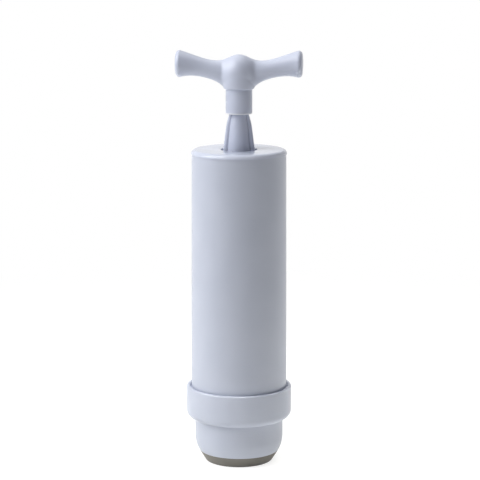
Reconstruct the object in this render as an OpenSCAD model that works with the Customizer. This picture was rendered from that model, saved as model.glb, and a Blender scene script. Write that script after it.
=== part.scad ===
// Hand vacuum pump for storage bags, in millimetres.
// A T handle on a finned rod draws a piston up a plastic barrel. A rubber pad at the foot seals on
// the bag's valve, and a flat rubber disc under the piston lets the air in and holds it.
// The origin is the centre of the pad's lower face, and +Z runs up the barrel's axis.

/* [Foot pad] */
// Height of the pad that shows below the nozzle
pad_h = 3.7; // [2.5:0.1:6]
// How far the pad's side leans in from the nozzle's rim to its foot
pad_lean = 1.9; // [0.5:0.1:3]
// Rounding of the pad's lower edge
pad_edge = 0.5; // [0.2:0.1:1]
// Diameter of the suction mouth through the pad
mouth_d = 14; // [10:0.1:17]
// Thickness of the bead that snaps over the nozzle's lip
pad_bead_t = 1.4; // [1:0.1:3]

/* [Nozzle] */
// How far the nozzle's side stands in from the barrel's foot
nozzle_inset = 1.3; // [0.8:0.1:2.4]
// Height of the nozzle that shows between the pad and the collar
nozzle_h = 12; // [9:0.1:18]
// Wall thickness of the nozzle
nozzle_wall = 1.8; // [1.2:0.1:2.4]
// Radius of the curve that draws the nozzle in to its lower rim
nozzle_curve_r = 10; // [8:0.1:16]
// Height of that curve
nozzle_curve_h = 5.3; // [3.5:0.1:7]
// Thickness of the lip that holds the pad
nozzle_lip_t = 2.5; // [1.6:0.1:3.5]
// Width of that lip, from the nozzle's rim inwards
nozzle_lip_w = 2.6; // [1.6:0.1:3.4]
// Thickness of the flange that the collar clamps
nozzle_flange_t = 1.8; // [1.2:0.1:3]

/* [Collar] */
// Height of the screw collar
collar_h = 11.6; // [10:0.1:18]
// Wall of the collar round the barrel
collar_wall = 1.3; // [1:0.1:2.4]
// Gap that shows between the barrel and the collar's rim
collar_gap = 0.4; // [0.35:0.05:0.8]
// Thickness of the lip under the nozzle's flange
collar_lip_t = 2.2; // [1.4:0.1:3]
// Radius of the collar's lower edge
collar_round = 2.7; // [1:0.1:3.2]
// Rounding of the collar's rim
collar_rim_round = 0.6; // [0.2:0.05:0.8]

/* [Barrel] */
// Diameter of the bore that the piston runs in
bore_d = 30; // [27:0.1:34]
// Wall of the barrel at its top
barrel_wall = 1.5; // [1.1:0.1:2.2]
// How much thicker the wall is at the foot, by the draft of its mould
barrel_draft = 0.35; // [0:0.05:0.6]
// Length of the barrel
barrel_len = 87.2; // [60:0.1:130]
// Height of one turn of the coarse thread at the barrel's foot
thread_pitch = 1.5; // [1.2:0.1:2.2]
// How far the thread stands out from the barrel
thread_h = 0.3; // [0.2:0.05:0.3]

/* [Cap] */
// Thickness of the cap's flange
cap_t = 1.6; // [1.2:0.1:3]
// How far the flange stands out over the barrel
cap_overhang = 0.25; // [0:0.05:0.8]
// Rounding of the flange's upper edge
cap_round = 1.5; // [0.4:0.1:1.5]
// Length of the plug that sits in the bore
cap_plug_len = 5; // [3:0.1:9]
// Wall of that plug
cap_plug_wall = 1.6; // [1:0.1:2.4]
// Play of the rod's fins in the cap's hole
rod_play = 0.8; // [0.6:0.05:1.4]
// Bevel round that hole
hole_bevel = 0.4; // [0.1:0.1:0.8]
// Length of the short guide tube under the hole
guide_len = 3; // [2:0.1:5]
// Wall of the guide tube
guide_wall = 1.8; // [1.2:0.1:2.4]
// Number of ribs between the guide tube and the plug
cap_ribs = 6; // [3:1:10]
// Thickness of a rib
rib_t = 1.2; // [0.8:0.1:2]

/* [Inlet valve] */
// Thickness of the plate that the valve sits on
plate_t = 1.8; // [1.2:0.1:3]
// Thickness of the gasket under the barrel
gasket_t = 1.2; // [0.8:0.1:2]
// Number of inlet holes
inlet_count = 6; // [3:1:8]
// Diameter of an inlet hole
inlet_d = 2.4; // [1.2:0.1:3]
// Distance of the inlet holes from the axis
inlet_r = 5; // [4.2:0.1:6]
// Diameter of the rubber disc
disc_d = 16; // [15.6:0.1:17]
// Thickness of the rubber disc
disc_t = 1.2; // [0.8:0.1:2]
// How far the disc lifts
disc_lift = 0.8; // [0.4:0.1:1.2]
// Diameter of the pin that guides the disc
pin_d = 3; // [2.4:0.1:4]
// Span of the star that stops the disc
guard_span = 13.6; // [10:0.1:15]
// Thickness of that star
guard_t = 1.2; // [0.8:0.1:2]
// Width of one arm of the star
guard_arm_w = 2; // [1.2:0.1:3]

/* [Piston] */
// Thickness of the piston's lower flange
piston_foot_t = 3; // [2:0.1:5]
// Thickness of the piston's upper flange
piston_head_t = 2.3; // [1.6:0.1:4]
// Height of the hub that takes the rod
piston_hub_h = 4.8; // [3.5:0.1:9]
// How far that hub reaches past the cap's hole all round, which ends the pull
piston_ledge = 0.9; // [0.6:0.1:1.5]
// Thickness of the sealing ring
ring_cord = 3; // [2:0.1:3.6]
// How far the ring shifts in its groove, which opens the way for the air
ring_float = 0.8; // [0.3:0.1:1.5]
// Number of air notches in the upper flange
notch_count = 6; // [3:1:10]
// Width of an air notch
notch_w = 3; // [1.5:0.1:4]

/* [Rod] */
// Diameter of the rod's round core
rod_core_d = 8.1; // [7.4:0.1:9]
// Width of the rod across its two fins
rod_span = 11; // [9.8:0.1:12.2]
// Thickness of a fin
fin_t = 2.6; // [1.6:0.1:3.6]
// Height above the cap of the knee, where the rod's taper grows steeper
knee_h = 8.9; // [6:0.1:10]
// Diameter of the core at the knee
knee_core_d = 6.2; // [5.4:0.1:7]
// Width across the fins at the knee
knee_span = 8.7; // [7.8:0.1:9.6]
// Diameter of the core where it meets the neck
tip_core_d = 4.9; // [4.2:0.1:5.4]
// Width across the fins where they meet the neck
tip_span = 6.7; // [6:0.1:7.6]
// Length of rod that shows between the cap and the neck when the handle is down
rod_show = 12.4; // [11:0.1:22]
// How far the tail that snaps into the piston steps in from the core
tail_step = 0.75; // [0.4:0.05:1]
// Height of the bead that holds the tail
tail_bead = 0.5; // [0.3:0.05:0.6]
// Width of the slot that lets the tail spring
tail_slot_w = 1.2; // [0.8:0.1:1.6]

/* [Handle] */
// Span of the handle from end to end
handle_span = 44.4; // [36:0.1:60]
// Diameter of the handle's ends
end_d = 9.4; // [7.6:0.1:12]
// Diameter of each arm at its waist
waist_d = 6.6; // [5.6:0.1:8]
// Distance of the waist from the axis
waist_x = 11; // [9:0.1:14]
// How far the arms sweep up to their ends
arm_rise = 2.75; // [0:0.05:6]
// Rounding of the rim at each end
end_round = 1.4; // [0.6:0.1:2.2]
// Height of the dome on each end
end_dome = 0.2; // [0.1:0.05:0.8]
// Diameter of the round hub
hub_d = 12.1; // [11:0.1:14]
// How far the hub's swelling spreads along the arms
hub_spread = 5.15; // [4:0.05:6]
// Drop of the web under the arms, beside the hub
web_drop = 6.7; // [4:0.1:8]
// How far that web spreads along the arms
web_spread = 4.9; // [4:0.05:6]
// Diameter of the neck below the hub
neck_d = 9.25; // [8.4:0.05:10.2]
// Wall of the neck round the rod's tenon
neck_wall = 1.6; // [1.1:0.1:2]
// Length of the neck
neck_len = 8.6; // [6:0.1:14]
// Rounding of the neck's lower edge
neck_round = 0.4; // [0.2:0.05:0.6]
// How far the hub's foot stands out past the neck
hub_step = 0.4; // [0.2:0.05:0.8]

/* [Fits] */
// Clearance of a turning or lifting fit, on the radius
run_gap = 0.08; // [0.05:0.01:0.1]
// Gap between pieces of one body that are pressed or screwed together
seat_gap = 0.05; // [0.02:0.01:0.1]
// Gap between the piston's flanges and the bore
piston_gap = 0.25; // [0.2:0.05:0.5]
// Gap between the sealing ring and the bore as drawn, where the rubber really presses
ring_gap = 0.1; // [0.05:0.01:0.2]
// Gap left at the end of a travel
stop_gap = 0.1; // [0.05:0.01:0.3]
// Gap round the pieces that the collar clamps
clamp_gap = 0.3; // [0.1:0.05:0.5]
// Small bevel on the edges of the inner pieces
edge_bevel = 0.4; // [0.2:0.05:0.5]

/* [Hidden] */
$fn = 96;

// Height of each piece on the axis, from the pad up.
collar_z = pad_h + nozzle_h;
flange_z = collar_z + collar_lip_t;
plate_z = flange_z + nozzle_flange_t;
gasket_z = plate_z + plate_t;
barrel_z = gasket_z + gasket_t;
cap_z = barrel_z + barrel_len;
cap_top = cap_z + cap_t;
neck_z = cap_top + rod_show;
hub_z = neck_z + neck_len;

// Radii that follow from what goes round what.
bore_r = bore_d / 2;
top_r = bore_r + barrel_wall;
foot_r = top_r + barrel_draft;
nozzle_r = foot_r - nozzle_inset;
collar_in_r = foot_r + collar_gap;
collar_r = collar_in_r + collar_wall;
clamp_r = collar_in_r - clamp_gap;
rim_r = nozzle_r - nozzle_curve_r + sqrt(pow(nozzle_curve_r, 2) - pow(nozzle_curve_h, 2));
lip_r = rim_r - nozzle_lip_w;
cap_r = top_r + cap_overhang;
cap_edge_r = min(cap_round, cap_t - 0.1);
thread_turns = floor((collar_z + collar_h - barrel_z) / thread_pitch);

// Inlet valve.
guard_arms = 4;
guard_z = gasket_z + disc_t + disc_lift + stop_gap;
guard_top = guard_z + guard_t;
guard_hub_r = pin_d / 2 + guard_t;

// Piston, with its recess over the valve and its groove for the ring.
piston_rest_gap = 0.5;
groove_gap = 0.75;
recess_gap = 1;
recess_head_gap = 0.8;
piston_z = gasket_z + piston_rest_gap;
groove_z = piston_z + piston_foot_t;
groove_h = ring_cord + ring_float + stop_gap;
head_z = groove_z + groove_h;
head_top = head_z + piston_head_t;
hub_top = head_top + piston_hub_h;
piston_r = bore_r - piston_gap;
ring_out_r = bore_r - ring_gap;
groove_r = ring_out_r - ring_cord - groove_gap;
ring_z = head_z - stop_gap / 2 - ring_cord / 2;
recess_r = disc_d / 2 + recess_gap;
recess_top = guard_top + recess_head_gap;
socket_floor = 2;
socket_z = recess_top + socket_floor;

// Rod, with its snap tail in the piston's hub and its tenon in the handle's neck.
core_r = rod_core_d / 2;
fin_r = rod_span / 2;
rod_hole_r = fin_r + rod_play;
piston_hub_r = rod_hole_r + piston_ledge;
guide_r = rod_hole_r + guide_wall;
tail_r = core_r - tail_step;
tail_z = socket_z + 0.3;
bead_z = tail_z + 0.7;
bead_h = 2;
rod_z = hub_top + stop_gap;
neck_r = neck_d / 2;
socket_r = neck_r - neck_wall;
tenon_r = socket_r - seat_gap;
tenon_len = neck_len - 1;

// Handle.
hub_r = hub_d / 2;
waist_r = waist_d / 2;
end_r = end_d / 2;
axis_z = hub_z + hub_r - 0.1;
end_x = handle_span / 2 - end_round - end_dome;
bend_in = 4;
handle_sides = 32;
handle_steps = 54;
rim_steps = 4;
skirt_r = hub_r - 0.05;
skirt_foot_r = neck_r + hub_step;

// The travel of the piston, and the clear height under each arm, for whoever sets the joints.
stroke = cap_z - guide_len - hub_top - ring_float - 2 * stop_gap;
echo(stroke = stroke, height = axis_z + arm_rise + end_r, cap_top = cap_top, hub_z = hub_z);

// Points of an arc, from angle a0 to a1, in n steps.
function arc(cx, cy, r, a0, a1, n = 12) =
    [for (i = [0:n]) let (a = a0 + (a1 - a0) * i / n) [cx + r * cos(a), cy + r * sin(a)]];

// A plain ring or tube.
module tube(r_out, r_in, z, h) {
    translate([0, 0, z])
        difference() {
            cylinder(r = r_out, h = h);
            translate([0, 0, -1]) cylinder(r = r_in, h = h + 2);
        }
}

// One ridge of the coarse thread, drawn as a closed ring: it stands out by h from radius r.
module thread_ridge(r, h, z) {
    crest = thread_pitch / 8;
    root = thread_pitch / 4;
    rotate_extrude()
        polygon([[r - 0.2, z - root], [r, z - root], [r + h, z - crest], [r + h, z + crest],
                 [r, z + root], [r - 0.2, z + root]]);
}

module foot_pad() {
    brim_r = rim_r - 0.1;
    brim_t = 0.3;
    bead_w = 1;
    lean_a = atan(pad_lean / pad_h);
    snap_z = pad_h + nozzle_lip_t;
    color("dimgray")
        rotate_extrude()
            polygon(concat(
                [[mouth_d / 2, 0]],
                arc(brim_r - pad_lean - pad_edge, pad_edge, pad_edge, -90, -lean_a, 5),
                [[brim_r, pad_h - brim_t], [brim_r, pad_h], [lip_r - seat_gap, pad_h],
                 [lip_r - seat_gap, snap_z], [lip_r + bead_w, snap_z],
                 [lip_r + bead_w / 2, snap_z + pad_bead_t], [mouth_d / 2, snap_z + pad_bead_t]]));
}

module nozzle() {
    in_r = nozzle_r - nozzle_wall;
    lip_bevel = 1;
    curve_a = asin(nozzle_curve_h / nozzle_curve_r);
    color("lavender")
        rotate_extrude()
            polygon(concat(
                [[lip_r, pad_h]],
                arc(nozzle_r - nozzle_curve_r, pad_h + nozzle_curve_h, nozzle_curve_r, -curve_a, 0),
                [[nozzle_r, flange_z], [clamp_r, flange_z], [clamp_r, plate_z], [in_r, plate_z],
                 [in_r, pad_h + nozzle_lip_t + lip_bevel],
                 [in_r - lip_bevel, pad_h + nozzle_lip_t],
                 [lip_r, pad_h + nozzle_lip_t]]));
}

module collar() {
    top = collar_z + collar_h;
    hole_r = nozzle_r + clamp_gap;
    rim_bevel = 0.3;
    color("lavender") {
        rotate_extrude()
            polygon(concat(
                [[hole_r, collar_z]],
                arc(collar_r - collar_round, collar_z + collar_round, collar_round, -90, 0),
                arc(collar_r - collar_rim_round, top - collar_rim_round, collar_rim_round, 0, 90, 5),
                [[collar_in_r + rim_bevel, top], [collar_in_r, top - rim_bevel],
                 [collar_in_r, flange_z],
                 [hole_r, flange_z]]));
    }
}

module valve_plate() {
    color("lavender")
        difference() {
            union() {
                translate([0, 0, plate_z]) cylinder(r = clamp_r, h = plate_t);
                translate([0, 0, plate_z]) cylinder(d = pin_d, h = guard_top - plate_z);
            }
            for (i = [0:inlet_count - 1])
                rotate([0, 0, 360 * i / inlet_count])
                    translate([inlet_r, 0, plate_z - 1]) cylinder(d = inlet_d, h = plate_t + 2, $fn = 32);
        }
}

module inlet_disc() {
    color("silver") tube(disc_d / 2, pin_d / 2 + run_gap, gasket_z, disc_t);
}

module valve_guard() {
    color("white")
        difference() {
            union() {
                translate([0, 0, guard_z]) cylinder(r = guard_hub_r, h = guard_t);
                for (i = [0:guard_arms - 1])
                    rotate([0, 0, 45 + 360 * i / guard_arms]) {
                        translate([0, -guard_arm_w / 2, guard_z])
                            cube([guard_span / 2 - guard_arm_w / 2, guard_arm_w, guard_t]);
                        translate([guard_span / 2 - guard_arm_w / 2, 0, guard_z])
                            cylinder(d = guard_arm_w, h = guard_t, $fn = 32);
                    }
            }
            translate([0, 0, guard_z - 1]) cylinder(d = pin_d + seat_gap, h = guard_t + 2);
        }
}

module base_gasket() {
    color("dimgray") tube(clamp_r, bore_r + 0.2, gasket_z, gasket_t);
}

module barrel() {
    color("lavender")
        difference() {
            union() {
                translate([0, 0, barrel_z]) cylinder(r1 = foot_r, r2 = top_r, h = barrel_len);
                for (i = [0:thread_turns - 1])
                    thread_ridge(foot_r, thread_h, barrel_z + thread_pitch * (i + 0.5));
            }
            translate([0, 0, barrel_z - 1]) cylinder(r = bore_r, h = barrel_len + 2);
        }
}

module top_cap() {
    plug_r = bore_r - seat_gap;
    color("lavender")
        difference() {
            union() {
                rotate_extrude()
                    polygon(concat(
                        [[0, cap_z], [cap_r, cap_z]],
                        arc(cap_r - cap_edge_r, cap_top - cap_edge_r, cap_edge_r, 0, 90, 10),
                        [[0, cap_top]]));
                tube(plug_r, plug_r - cap_plug_wall, cap_z - cap_plug_len, cap_plug_len);
                translate([0, 0, cap_z - guide_len]) cylinder(r = guide_r, h = guide_len);
                for (i = [0:cap_ribs - 1])
                    rotate([0, 0, 360 * (i + 0.5) / cap_ribs])
                        translate([guide_r - 0.5, -rib_t / 2, cap_z - guide_len])
                            cube([plug_r - cap_plug_wall - guide_r + 1, rib_t, guide_len]);
            }
            translate([0, 0, cap_z - guide_len - 1])
                cylinder(r = rod_hole_r, h = guide_len + cap_t + 2);
            translate([0, 0, cap_top - hole_bevel])
                cylinder(r1 = rod_hole_r, r2 = rod_hole_r + 2 * hole_bevel, h = 2 * hole_bevel);
        }
}

// The piston's spool, with a groove for the ring, notches for the air and a blind socket for the rod.
module piston() {
    bore = tail_r + run_gap;
    undercut = tail_bead + run_gap;
    color("white")
        difference() {
            rotate_extrude()
                polygon([[0, recess_top], [recess_r, recess_top], [recess_r, piston_z],
                         [piston_r - edge_bevel, piston_z], [piston_r, piston_z + edge_bevel],
                         [piston_r, groove_z], [groove_r, groove_z], [groove_r, head_z],
                         [piston_r, head_z], [piston_r, head_top - edge_bevel],
                         [piston_r - edge_bevel, head_top], [piston_hub_r, head_top],
                         [piston_hub_r, hub_top - edge_bevel], [piston_hub_r - edge_bevel, hub_top],
                         [bore + edge_bevel, hub_top], [bore, hub_top - edge_bevel],
                         [bore, bead_z + bead_h], [bore + undercut, bead_z + bead_h / 2],
                         [bore + undercut, bead_z - stop_gap], [bore, socket_z], [0, socket_z]]);
            for (i = [0:notch_count - 1])
                rotate([0, 0, 360 * i / notch_count])
                    translate([groove_r - 0.8, -notch_w / 2, groove_z + ring_cord / 2])
                        cube([bore_r, notch_w, head_top - groove_z]);
        }
}

module piston_ring() {
    color("dimgray")
        rotate_extrude()
            translate([ring_out_r - ring_cord / 2, ring_z]) circle(d = ring_cord, $fn = 48);
}

// Half outline of a bar that runs straight up the barrel, tapers above the cap and tapers more
// steeply past a rounded knee, up to the neck.
function tapered_bar(r, knee_r, tip_r) =
    let (knee_z = cap_top + knee_h,
         bend = (rod_show - knee_h) * 0.4,
         low = [knee_r + (r - knee_r) * bend / knee_h, knee_z - bend],
         high = [knee_r + (tip_r - knee_r) * bend / (rod_show - knee_h), knee_z + bend],
         knee = [knee_r, knee_z])
    concat([[0, rod_z], [r, rod_z], [r, cap_top]],
           [for (t = [0:0.125:1])
               pow(1 - t, 2) * low + 2 * t * (1 - t) * knee + t * t * high],
           [[tip_r, neck_z], [0, neck_z]]);

module rod() {
    color("lavender") {
        difference() {
            union() {
                rotate_extrude() polygon(tapered_bar(core_r, knee_core_d / 2, tip_core_d / 2));
                intersection() {
                    rotate_extrude() polygon(tapered_bar(fin_r, knee_span / 2, tip_span / 2));
                    translate([-rod_span, -fin_t / 2, rod_z])
                        cube([2 * rod_span, fin_t, neck_z - rod_z]);
                }
                translate([0, 0, neck_z]) cylinder(r = tenon_r, h = tenon_len);
                rotate_extrude()
                    polygon([[0, tail_z], [tail_r - 0.5, tail_z], [tail_r, bead_z],
                             [tail_r + tail_bead, bead_z + bead_h / 4],
                             [tail_r + tail_bead, bead_z + bead_h / 2],
                             [tail_r, bead_z + bead_h - 0.2], [tail_r, rod_z], [0, rod_z]]);
            }
            translate([-rod_span, -tail_slot_w / 2, tail_z - 1])
                cube([2 * rod_span, tail_slot_w, rod_z - tail_z - 1]);
        }
    }
}

// The handle's arms and hub are one loft along X. Each section is an ellipse whose upper, lower and
// side half-widths follow their own smooth curves, so the hub swells out of the arms.
function ease(s) = let (t = min(1, max(0, s))) t * t * (3 - 2 * t);
function swell(x, spread) = exp(-pow(x / spread, 2));
function arm_axis(x) = arm_rise * ease((abs(x) - bend_in) / (end_x - bend_in));
function arm_r(x) =
    waist_r + (end_r - waist_r) * pow(max(0, abs(x) - waist_x) / (end_x - waist_x), 2);
function upper_h(x) = arm_r(x) + (hub_r - waist_r) * swell(x, hub_spread);
function lower_h(x) = min(arm_r(x) + web_drop * swell(x, web_spread), axis_z + arm_axis(x) - hub_z);
function side_h(x) =
    let (n = 5, hub = sqrt(max(0, hub_r * hub_r - x * x)))
    pow(pow(arm_r(x), n) + pow(hub, n), 1 / n);

// One section: place along X, upper, lower and side half-widths.
function section(x) = [x, upper_h(x), lower_h(x), side_h(x)];
function rim_section(a, side) =
    let (in = end_round * (1 - cos(a)))
    [side * (end_x + end_round * sin(a)), end_r - in, end_r - in, end_r - in];
function dome_section(side) =
    let (r = (end_r - end_round) / 2)
    [side * (end_x + end_round + 0.75 * end_dome), r, r, r];

function handle_sections() =
    let (u = [for (i = [0:handle_steps]) 2 * i / handle_steps - 1])
    concat([dome_section(-1)],
           [for (k = [rim_steps:-1:1]) rim_section(90 * k / rim_steps, -1)],
           [for (v = u) section(end_x * (0.62 * v + 0.38 * pow(v, 3)))],
           [for (k = [1:rim_steps]) rim_section(90 * k / rim_steps, 1)],
           [dome_section(1)]);

module arm_loft() {
    rows = handle_sections();
    n = handle_sides;
    last = len(rows) - 1;
    tip = handle_span / 2;
    points = concat(
        [for (s = rows) for (j = [0:n - 1])
            let (a = 360 * (j + 0.5) / n)
            [s[0], s[3] * cos(a), axis_z + arm_axis(s[0]) + (sin(a) > 0 ? s[1] : s[2]) * sin(a)]],
        [[-tip, 0, axis_z + arm_rise], [tip, 0, axis_z + arm_rise]]);
    left_tip = len(points) - 2;
    right_tip = len(points) - 1;
    sides = [for (i = [0:last - 1]) for (j = [0:n - 1])
        let (k = (j + 1) % n, a = i * n + j, b = i * n + k, c = a + n, d = b + n)
        each [[a, c, b], [b, c, d]]];
    ends = concat(
        [for (j = [0:n - 1]) [left_tip, j, (j + 1) % n]],
        [for (j = [0:n - 1]) [right_tip, last * n + (j + 1) % n, last * n + j]]);
    polyhedron(points = points, faces = concat(sides, ends));
}

module handle() {
    skirt_h = axis_z - hub_z;
    skirt_in = skirt_r - skirt_foot_r;
    skirt_curve = (skirt_h * skirt_h + skirt_in * skirt_in) / (2 * skirt_in);
    color("lavender")
        difference() {
            union() {
                arm_loft();
                // The skirt carries the hub down to the step above the neck.
                rotate_extrude()
                    polygon(concat(
                        [[0, hub_z]],
                        arc(skirt_r - skirt_curve, axis_z, skirt_curve,
                            -asin(skirt_h / skirt_curve), 0, 10),
                        [[0, axis_z]]));
                rotate_extrude()
                    polygon(concat(
                        [[0, neck_z]],
                        arc(neck_r - neck_round, neck_z + neck_round, neck_round, -90, 0, 5),
                        [[neck_r, hub_z + 0.5], [0, hub_z + 0.5]]));
            }
            translate([0, 0, neck_z - 1]) cylinder(r = socket_r, h = tenon_len + 1.3);
        }
}

foot_pad();
nozzle();
collar();
valve_plate();
inlet_disc();
valve_guard();
base_gasket();
barrel();
top_cap();
piston();
piston_ring();
rod();
handle();
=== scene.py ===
# %% [markdown]
# # A hand vacuum pump
#
# This lesson dresses a small hand pump of the kind that draws the air out of storage bags. Its
# moving pieces come ready made, at their real size, as a fixed frame: Blender gives them their
# surfaces, their soft edges and their light. Everything is in metres, and +Z runs up the barrel.

# %% Load the frame
import math

import bpy
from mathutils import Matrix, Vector


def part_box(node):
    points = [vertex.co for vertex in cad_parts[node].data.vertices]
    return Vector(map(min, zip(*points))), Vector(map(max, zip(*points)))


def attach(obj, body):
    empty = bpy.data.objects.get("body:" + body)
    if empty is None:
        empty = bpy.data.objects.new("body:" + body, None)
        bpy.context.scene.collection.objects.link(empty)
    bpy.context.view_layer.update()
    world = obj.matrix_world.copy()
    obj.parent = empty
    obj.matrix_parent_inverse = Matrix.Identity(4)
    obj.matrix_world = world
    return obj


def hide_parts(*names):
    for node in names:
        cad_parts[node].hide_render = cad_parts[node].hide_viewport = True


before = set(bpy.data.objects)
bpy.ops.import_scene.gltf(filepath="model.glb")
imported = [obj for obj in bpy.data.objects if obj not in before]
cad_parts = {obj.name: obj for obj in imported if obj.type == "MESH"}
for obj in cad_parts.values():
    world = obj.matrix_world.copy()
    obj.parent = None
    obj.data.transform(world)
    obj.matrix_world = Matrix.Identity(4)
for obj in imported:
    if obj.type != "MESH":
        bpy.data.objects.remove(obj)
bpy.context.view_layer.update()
MM = 0.001

# %% [markdown]
# ## Where each piece starts and ends
#
# The frame knows where every piece lies, so the new pieces take their heights and most of their
# outer radii from it. Nothing is moved to fit afterwards: a cap that is modelled from the barrel's
# own top edge still sits on it when the barrel is made longer.

# %% Read the heights that the new pieces need


def low(node):
    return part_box(node)[0]


def high(node):
    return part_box(node)[1]


foot_z = low("foot_pad").z
nozzle_z = low("nozzle").z
collar_z = low("collar").z
collar_top = high("collar").z
cap_top = high("top_cap").z
neck_z = low("handle").z
print("cap top", round(cap_top / MM, 2), "mm, neck", round(neck_z / MM, 2), "mm")

# %% [markdown]
# ## The camera
#
# The pump is seen a little from above, through a long lens that stands about two thirds of a metre
# away. A long lens keeps the barrel's sides nearly parallel, which is how products are shown. The
# camera is worked out from the distance, the height angle and the point that it looks at.

# %% Place the camera
VIEW_TURN = math.radians(4.0)
VIEW_DROP = math.radians(10.17)
VIEW_REACH = 0.6745
LENS = 144.0
SENSOR_WIDTH = 36.0
NEAREST_SEEN = 0.01
look_at = Vector((0.34 * MM, 0.0, 79.35 * MM))
back = Vector((
    math.sin(VIEW_TURN) * math.cos(VIEW_DROP),
    -math.cos(VIEW_TURN) * math.cos(VIEW_DROP),
    math.sin(VIEW_DROP),
))

bpy.ops.object.camera_add(location=look_at + back * VIEW_REACH)
camera = bpy.context.object
camera.name = "camera"
camera.rotation_euler = (-back).to_track_quat("-Z", "Y").to_euler()
camera.data.lens = LENS
camera.data.sensor_width = SENSOR_WIDTH
camera.data.clip_start = NEAREST_SEEN
bpy.context.scene.camera = camera
print("camera at", [round(v, 3) for v in camera.location])

# %% [markdown]
# ## Helpers for working by hand
#
# An operator acts on all that is selected, so each step begins by clearing the selection. The
# frame's own pieces must never be touched, and they are selected right after loading.

# %% Selection helpers


def deselect():
    if bpy.context.mode != "OBJECT":
        bpy.ops.object.mode_set(mode="OBJECT")
    bpy.ops.object.select_all(action="DESELECT")


def choose(*pieces):
    deselect()
    for piece in pieces:
        piece.select_set(True)
    bpy.context.view_layer.objects.active = pieces[-1]


def apply_modifier(piece, kind, **settings):
    choose(piece)
    modifier = piece.modifiers.new(kind.title(), kind)
    for key, value in settings.items():
        setattr(modifier, key, value)
    bpy.ops.object.modifier_apply(modifier=modifier.name)


def count(piece):
    print(piece.name, len(piece.data.vertices), "vertices,", len(piece.data.polygons), "faces")


# %% [markdown]
# ## Turning a profile
#
# Most of this pump is round. A round piece is made as a potter makes a bowl: draw half of its
# outline, then spin it once round the axis. The outline starts as a plane merged to one vertex,
# which is extruded from point to point, and `mesh.spin` sweeps it. The seam's doubled vertices are
# merged before the normals are made to point outwards.

# %% Turn a closed outline into a round piece
TURN_STEPS = 144
SMALL_TURN_STEPS = 96
JOIN_DISTANCE = 0.002 * MM


def turn(name, outline, steps=TURN_STEPS):
    deselect()
    bpy.ops.mesh.primitive_plane_add(size=MM)
    piece = bpy.context.object
    piece.name = name
    piece.data.name = name
    bpy.ops.object.mode_set(mode="EDIT")
    bpy.ops.mesh.merge(type="CENTER")
    here = outline[0]
    bpy.ops.transform.translate(value=(here[0], 0, here[1]))
    for there in outline[1:] + outline[:1]:
        step = (there[0] - here[0], 0, there[1] - here[1])
        bpy.ops.mesh.extrude_region_move(TRANSFORM_OT_translate={"value": step})
        here = there
    bpy.ops.mesh.select_all(action="SELECT")
    bpy.ops.mesh.remove_doubles(threshold=JOIN_DISTANCE)
    bpy.ops.mesh.spin(steps=steps, angle=math.tau, center=(0, 0, 0), axis=(0, 0, 1))
    bpy.ops.mesh.select_all(action="SELECT")
    bpy.ops.mesh.remove_doubles(threshold=JOIN_DISTANCE)
    bpy.ops.mesh.normals_make_consistent(inside=False)
    bpy.ops.object.mode_set(mode="OBJECT")
    return piece


def arc(centre, size, first, last, steps):
    """Points of an arc in the outline's plane, from one angle in degrees to another."""
    points = []
    for i in range(steps + 1):
        a = math.radians(first + (last - first) * i / steps)
        points.append((centre[0] + size * math.cos(a), centre[1] + size * math.sin(a)))
    return points


# %% [markdown]
# ## Soft edges and clean joins
#
# A moulding has no sharp edge, because the steel that shapes it has small radii of its own. Where an
# outline doesn't draw them, a narrow bevel does, and catches the light. Shapes of one moulding are
# joined by a boolean, which leaves slivers and spare points where their surfaces cross. These are
# taken out straight away, or they would become doubled faces in the finished mesh.

# %% Smooth shading and softened edges
SMOOTH_BELOW = 40
BEVEL_ABOVE = 35
BEVEL_SEGMENTS = 2
EDGE_ROUND = 0.1 * MM
RUBBER_EDGE_ROUND = 0.12 * MM


def smooth(piece):
    """Shades the round faces smoothly and keeps the true edges sharp."""
    choose(piece)
    bpy.ops.object.shade_smooth_by_angle(angle=math.radians(SMOOTH_BELOW))


def soften(piece, width):
    """Rounds the edges that are sharper than an angle, as a mould's own small radii do."""
    apply_modifier(
        piece, "BEVEL", width=width, segments=BEVEL_SEGMENTS, limit_method="ANGLE",
        angle_limit=math.radians(BEVEL_ABOVE), use_clamp_overlap=True,
    )
    smooth(piece)


# %% Joining, cutting and cleaning
SLIVER = 0.01 * MM


def unite(piece, other):
    apply_modifier(piece, "BOOLEAN", operation="UNION", object=other, solver="EXACT")
    bpy.data.objects.remove(other, do_unlink=True)


def cut(piece, other):
    apply_modifier(piece, "BOOLEAN", operation="DIFFERENCE", object=other, solver="EXACT")
    bpy.data.objects.remove(other, do_unlink=True)


def clean(piece):
    """Takes out the slivers and the spare points on edges that a boolean leaves behind."""
    choose(piece)
    bpy.ops.object.mode_set(mode="EDIT")
    bpy.ops.mesh.select_mode(type="VERT")
    bpy.ops.mesh.select_all(action="SELECT")
    bpy.ops.mesh.remove_doubles(threshold=SLIVER)
    bpy.ops.mesh.dissolve_degenerate(threshold=SLIVER)
    bpy.ops.mesh.delete_loose()
    bpy.ops.mesh.select_all(action="DESELECT")
    bpy.ops.object.mode_set(mode="OBJECT")
    edges_at = [0] * len(piece.data.vertices)
    for edge in piece.data.edges:
        for corner in edge.vertices:
            edges_at[corner] += 1
    spare = [vertex for vertex in piece.data.vertices if edges_at[vertex.index] == 2]
    for vertex in spare:
        vertex.select = True
    bpy.ops.object.mode_set(mode="EDIT")
    bpy.ops.mesh.dissolve_verts()
    bpy.ops.object.mode_set(mode="OBJECT")
    print(piece.name, "had", len(spare), "spare points")


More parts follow.
